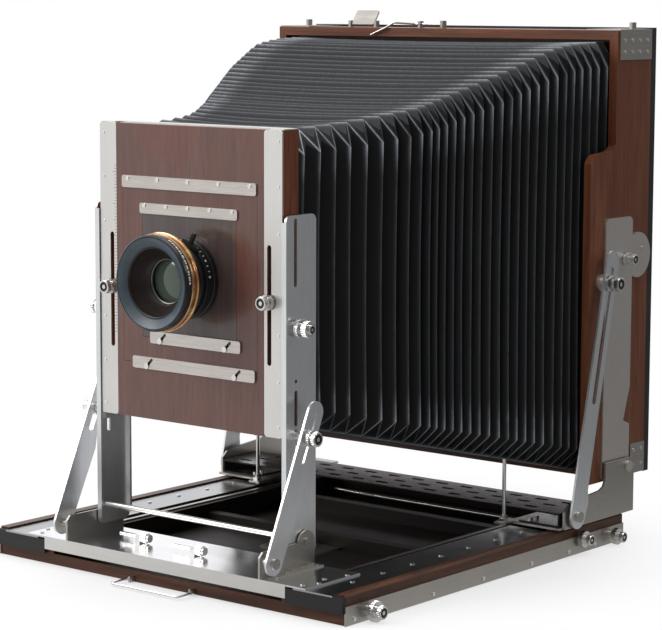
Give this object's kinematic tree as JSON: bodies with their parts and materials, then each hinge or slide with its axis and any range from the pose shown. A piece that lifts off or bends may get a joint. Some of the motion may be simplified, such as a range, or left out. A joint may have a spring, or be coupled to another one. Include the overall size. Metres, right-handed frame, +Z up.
{
  "type": "view camera",
  "caption": "Large folding-bed view camera: hardwood bed on geared metal tracks, tilting lens standard and rear standard joined by pleated bellows.",
  "frame": {"origin": "centre of the tripod socket's mouth, in the underside of the bed", "axes": "+Z up, +Y from the lens towards the focusing screen, +X to the right seen from the lens side"},
  "size_m": [0.6328, 0.6845, 0.6979],
  "materials": {
    "bed_wood": "oiled hardwood, satin",
    "frame_wood": "lacquered dark red-brown hardwood",
    "black_wood": "black stained hardwood",
    "titanium": "satin brushed sheet",
    "bright_steel": "fine satin",
    "chrome": "polished",
    "black_lens": "black anodised",
    "glass": "coated optical glass",
    "screen_glass": "ground on one side",
    "bellows_cloth": "black pleated leathercloth",
    "black_metal": "black"
  },
  "bodies": {
    "bed": {"bed_frame": "bed_wood", "floor_panel": "black_metal", "tripod_plate": "titanium", "side_plates_and_lugs": "titanium", "side_plate_screws": "bright_steel"},
    "bail": {"bail_handle": "chrome"},
    "front_drive": {"front_focus_drive": "chrome"},
    "rear_drive": {"rear_focus_drive": "chrome"},
    "carriage_lock_r": {"carriage_lock_right": "chrome"},
    "carriage_lock_l": {"carriage_lock_left": "chrome"},
    "front_track": {"track_rails": "black_wood", "track_caps_and_racks": "titanium", "cross_plate": "titanium", "spare_lock_screws": "chrome", "track_screws": "bright_steel", "front_brackets": "titanium"},
    "uprights": {"front_uprights": "titanium", "tie_rod_and_sliders": "bright_steel"},
    "struts": {"front_struts": "titanium"},
    "strut_knob_r": {"front_strut_knob_right": "chrome"},
    "strut_knob_l": {"front_strut_knob_left": "chrome"},
    "front_standard": {"front_frame": "frame_wood", "face_strips_and_studs": "bright_steel", "strip_screws": "bright_steel"},
    "tilt_knob_r": {"tilt_knob_right": "chrome"},
    "tilt_knob_l": {"tilt_knob_left": "chrome"},
    "panel": {"lens_panel": "frame_wood", "outer_board": "frame_wood", "lens_board": "frame_wood", "retaining_bars_and_rise_studs": "bright_steel", "board_screws": "bright_steel", "shutter_case": "black_lens", "lens_cells": "black_lens", "lens_glass": "glass"},
    "inner_bar": {"inner_lock_bar": "bright_steel"},
    "outer_bar": {"outer_lock_bar": "bright_steel"},
    "rise_knob_r": {"rise_knob_right": "chrome"},
    "rise_knob_l": {"rise_knob_left": "chrome"},
    "cocking": {"cocking_lever": "chrome"},
    "aperture": {"aperture_lever": "chrome"},
    "carriage": {"carriage_deck": "titanium", "rear_brackets": "titanium", "deck_screws": "chrome", "carriage_guides": "titanium"},
    "lock_rod_r": {"lock_rod_right": "chrome"},
    "lock_rod_l": {"lock_rod_left": "chrome"},
    "rear_standard": {"rear_frame": "frame_wood", "rear_plates": "titanium", "corner_plates_and_posts": "bright_steel", "corner_screws": "bright_steel", "bellows": "bellows_cloth"},
    "rear_braces": {"rear_struts": "titanium"},
    "rear_knob_r": {"rear_strut_knob_right": "chrome"},
    "rear_knob_l": {"rear_strut_knob_left": "chrome"},
    "shift_knob_r": {"shift_knob_right": "chrome"},
    "shift_knob_l": {"shift_knob_left": "chrome"},
    "focusing_back": {"back_frame": "black_wood", "ground_glass": "screen_glass"},
    "latch": {"back_latch": "titanium"},
    "hook": {"bail_hook": "chrome"}
  },
  "joints": [
    {"name": "front_focus", "type": "slide", "parent": "bed", "child": "front_track", "axis": [0, 1, 0], "range_m": [-0.15, 0], "deforming": ["bellows"]},
    {"name": "front_drive_turn", "type": "hinge", "parent": "bed", "child": "front_drive", "pos_m": [0, -0.229, 0.012], "axis": [1, 0, 0], "range_deg": [-60, 1160]},
    {"name": "rear_focus", "type": "slide", "parent": "bed", "child": "carriage", "axis": [0, 1, 0], "range_m": [-0.04, 0.005], "deforming": ["bellows"]},
    {"name": "rear_drive_turn", "type": "hinge", "parent": "bed", "child": "rear_drive", "pos_m": [0, 0.285, 0.012], "axis": [1, 0, 0], "range_deg": [-60, 330]},
    {"name": "bail_swing", "type": "hinge", "parent": "bed", "child": "bail", "pos_m": [0, -0.272, 0.0035], "axis": [-1, 0, 0], "range_deg": [-60, 75]},
    {"name": "carriage_lock_turn_r", "type": "hinge", "parent": "bed", "child": "carriage_lock_r", "pos_m": [0.2883, 0.215, 0.0195], "axis": [1, 0, 0], "range_deg": [0, 180]},
    {"name": "carriage_lock_turn_l", "type": "hinge", "parent": "bed", "child": "carriage_lock_l", "pos_m": [-0.2883, 0.215, 0.0195], "axis": [-1, 0, 0], "range_deg": [0, 180]},
    {"name": "front_base_tilt", "type": "hinge", "parent": "front_track", "child": "uprights", "pos_m": [0, -0.188, 0.066], "axis": [1, 0, 0], "range_deg": [-8, 10], "deforming": ["bellows"]},
    {"name": "front_strut_swing", "type": "hinge", "parent": "front_track", "child": "struts", "pos_m": [0, -0.266, 0.056], "axis": [1, 0, 0], "range_deg": [-6.2, 7.7]},
    {"name": "front_axis_tilt", "type": "hinge", "parent": "uprights", "child": "front_standard", "pos_m": [0, -0.203, 0.327], "axis": [1, 0, 0], "range_deg": [-8, 8], "deforming": ["bellows"]},
    {"name": "strut_knob_turn_r", "type": "hinge", "parent": "uprights", "child": "strut_knob_r", "pos_m": [0.1774, -0.203, 0.197], "axis": [1, 0, 0], "range_deg": [0, 270]},
    {"name": "tilt_knob_turn_r", "type": "hinge", "parent": "front_standard", "child": "tilt_knob_r", "pos_m": [0.1574, -0.203, 0.327], "axis": [1, 0, 0], "range_deg": [0, 270]},
    {"name": "rise_knob_turn_r", "type": "hinge", "parent": "panel", "child": "rise_knob_r", "pos_m": [0.129, -0.2194, 0.357], "axis": [0, -1, 0], "range_deg": [0, 270]},
    {"name": "strut_knob_turn_l", "type": "hinge", "parent": "uprights", "child": "strut_knob_l", "pos_m": [-0.1774, -0.203, 0.197], "axis": [-1, 0, 0], "range_deg": [0, 270]},
    {"name": "tilt_knob_turn_l", "type": "hinge", "parent": "front_standard", "child": "tilt_knob_l", "pos_m": [-0.1574, -0.203, 0.327], "axis": [-1, 0, 0], "range_deg": [0, 270]},
    {"name": "rise_knob_turn_l", "type": "hinge", "parent": "panel", "child": "rise_knob_l", "pos_m": [-0.129, -0.2194, 0.357], "axis": [0, -1, 0], "range_deg": [0, 270]},
    {"name": "rise", "type": "slide", "parent": "front_standard", "child": "panel", "axis": [0, 0, 1], "range_m": [-0.05, 0.05]},
    {"name": "inner_bar_slide", "type": "slide", "parent": "panel", "child": "inner_bar", "axis": [0.7071, 0, 0.7071], "range_m": [-0.0115, 0]},
    {"name": "outer_bar_slide", "type": "slide", "parent": "panel", "child": "outer_bar", "axis": [0.7071, 0, 0.7071], "range_m": [-0.0115, 0]},
    {"name": "cocking_swing", "type": "hinge", "parent": "panel", "child": "cocking", "pos_m": [0, -0.242, 0.3755], "axis": [0, -1, 0], "range_deg": [-28, 0]},
    {"name": "aperture_swing", "type": "hinge", "parent": "panel", "child": "aperture", "pos_m": [0, -0.242, 0.3755], "axis": [0, -1, 0], "range_deg": [-30, 45]},
    {"name": "lock_rod_turn_r", "type": "hinge", "parent": "carriage", "child": "lock_rod_r", "pos_m": [0.211, 0.152, 0.042], "axis": [0, 0, 1], "range_deg": [0, 180]},
    {"name": "lock_rod_turn_l", "type": "hinge", "parent": "carriage", "child": "lock_rod_l", "pos_m": [-0.211, 0.152, 0.042], "axis": [0, 0, 1], "range_deg": [0, 180]},
    {"name": "rear_tilt", "type": "hinge", "parent": "carriage", "child": "rear_standard", "pos_m": [0, 0.316, 0.101], "axis": [1, 0, 0], "range_deg": [-8, 4], "deforming": ["bellows"]},
    {"name": "rear_brace_swing", "type": "hinge", "parent": "carriage", "child": "rear_braces", "pos_m": [0, 0.19, 0.054], "axis": [1, 0, 0], "range_deg": [-6.2, 3.2]},
    {"name": "rear_knob_turn_r", "type": "hinge", "parent": "rear_standard", "child": "rear_knob_r", "pos_m": [0.3014, 0.256, 0.35], "axis": [1, 0, 0], "range_deg": [0, 270]},
    {"name": "shift_knob_turn_r", "type": "hinge", "parent": "rear_standard", "child": "shift_knob_r", "pos_m": [0.2894, 0.309, 0.377], "axis": [1, 0, 0], "range_deg": [0, 270]},
    {"name": "rear_knob_turn_l", "type": "hinge", "parent": "rear_standard", "child": "rear_knob_l", "pos_m": [-0.3014, 0.256, 0.35], "axis": [-1, 0, 0], "range_deg": [0, 270]},
    {"name": "shift_knob_turn_l", "type": "hinge", "parent": "rear_standard", "child": "shift_knob_l", "pos_m": [-0.2894, 0.309, 0.377], "axis": [-1, 0, 0], "range_deg": [0, 270]},
    {"name": "back_open", "type": "slide", "parent": "rear_standard", "child": "focusing_back", "axis": [0, 1, 0], "range_m": [0, 0.015]},
    {"name": "latch_swing", "type": "hinge", "parent": "rear_standard", "child": "latch", "pos_m": [0, 0.334, 0.679], "axis": [1, 0, 0], "range_deg": [-25, 0]},
    {"name": "hook_swing", "type": "hinge", "parent": "rear_standard", "child": "hook", "pos_m": [0, 0.334, 0.679], "axis": [-1, 0, 0], "range_deg": [0, 60]}
  ],
  "couplings": [
    {"joint": "front_drive_turn", "follows": "front_focus", "rad_per_m": -133.33},
    {"joint": "rear_drive_turn", "follows": "rear_focus", "rad_per_m": -133.33},
    {"joint": "front_strut_swing", "follows": "front_base_tilt", "ratio": 0.739},
    {"joint": "rear_brace_swing", "follows": "rear_tilt", "ratio": 0.752}
  ]
}
